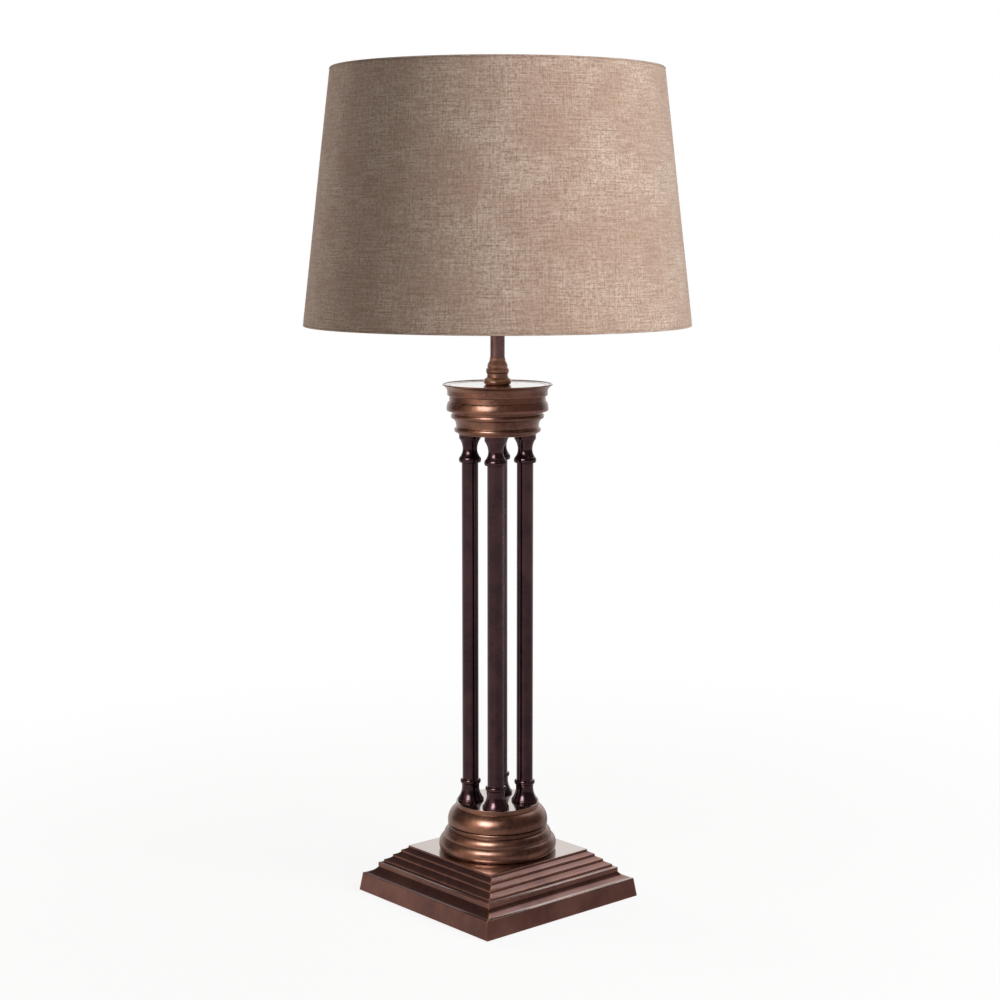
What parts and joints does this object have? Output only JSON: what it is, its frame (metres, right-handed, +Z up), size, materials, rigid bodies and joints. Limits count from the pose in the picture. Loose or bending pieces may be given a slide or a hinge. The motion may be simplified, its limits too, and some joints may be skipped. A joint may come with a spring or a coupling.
{
  "type": "column table lamp",
  "caption": "Table lamp with a square stepped bronze plinth, slender clustered columns between turned mouldings, and a tapered linen drum shade.",
  "frame": {"origin": "on the table, under the middle of the square plinth", "axes": "+Z up along the lamp's axis; the plinth's sides lie along X and Y; -Y is the front, and the cable inlet is in the rear (+Y) side"},
  "size_m": [0.3999, 0.4, 0.8684],
  "materials": {
    "felt": "dense wool felt",
    "plate_steel": "plain rolled steel",
    "fastener_steel": "zinc-plated steel",
    "bronze": "dark antique bronze patina, satin gloss",
    "column_bronze": "very dark bronze patina, glossy",
    "holder_brass": "antique brass",
    "contact_brass": "bright brass",
    "dark_plastic": "moulded, matte",
    "pale_plastic": "moulded, matte",
    "porcelain": "glazed porcelain",
    "bulb_metal": "rolled screw cap",
    "bulb_glass": "frosted glass",
    "filament": "coated filaments on a glass mount",
    "linen": "natural slubbed linen, plain weave",
    "liner": "stiff laminated liner",
    "hem": "rolled linen edge",
    "shade_wire": "white enamelled wire and ring",
    "flex": "round flexible lead"
  },
  "bodies": {
    "lamp": {"felt_pad": "felt", "bottom_plate": "plate_steel", "bottom_plate_screws": "fastener_steel", "crossbar": "fastener_steel", "crossbar_screws": "fastener_steel", "tie_washers_lower": "fastener_steel", "tie_nuts_lower": "fastener_steel", "tie_washers_upper": "fastener_steel", "tie_nuts_upper": "fastener_steel", "stem_nuts": "fastener_steel", "inlet_nut": "fastener_steel", "plinth": "bronze", "pedestal": "bronze", "capital": "bronze", "capital_lid": "bronze", "neck": "bronze", "stem_tube": "bronze", "holder_cup": "bronze", "column_base_front_left": "column_bronze", "column_shaft_front_left": "column_bronze", "column_cap_front_left": "column_bronze", "tie_tube_front_left": "fastener_steel", "column_base_front_right": "column_bronze", "column_shaft_front_right": "column_bronze", "column_cap_front_right": "column_bronze", "tie_tube_front_right": "fastener_steel", "column_base_rear_right": "column_bronze", "column_shaft_rear_right": "column_bronze", "column_cap_rear_right": "column_bronze", "tie_tube_rear_right": "fastener_steel", "column_base_rear_left": "column_bronze", "column_shaft_rear_left": "column_bronze", "column_cap_rear_left": "column_bronze", "tie_tube_rear_left": "fastener_steel", "stem_rod": "fastener_steel", "inlet_bush": "dark_plastic", "terminal_block": "pale_plastic", "terminal_screws": "contact_brass", "holder_cap": "holder_brass", "holder_shell": "holder_brass", "holder_insert": "porcelain", "screw_sleeve": "contact_brass", "centre_contact": "contact_brass", "inner_flex": "flex"},
    "switch_bar": {"switch_bar": "holder_brass"},
    "shade_ring": {"shade_ring": "holder_brass"},
    "bulb": {"bulb_tip": "dark_plastic", "bulb_cap": "bulb_metal", "bulb_glass": "bulb_glass", "bulb_filament": "filament"},
    "shade": {"shade_linen": "linen", "shade_liner": "liner", "shade_top_hem": "hem", "shade_bottom_hem": "hem", "shade_top_wire": "shade_wire", "shade_bottom_wire": "shade_wire", "carrier_ring": "shade_wire", "carrier_arms": "shade_wire"}
  },
  "joints": [
    {"name": "shade_turn", "type": "hinge", "parent": "lamp", "child": "shade", "pos_m": [0, 0, 0.6483], "axis": [0, 0, 1], "continuous": true},
    {"name": "shade_ring_turn", "type": "hinge", "parent": "lamp", "child": "shade_ring", "pos_m": [0, 0, 0.6502], "axis": [0, 0, 1], "range_deg": [0, 1440]},
    {"name": "bulb_turn", "type": "hinge", "parent": "lamp", "child": "bulb", "pos_m": [0, 0, 0.6387], "axis": [0, 0, 1], "range_deg": [0, 2160]},
    {"name": "switch_slide", "type": "slide", "parent": "lamp", "child": "switch_bar", "axis": [0, 1, 0], "range_m": [0, 0.005]}
  ]
}
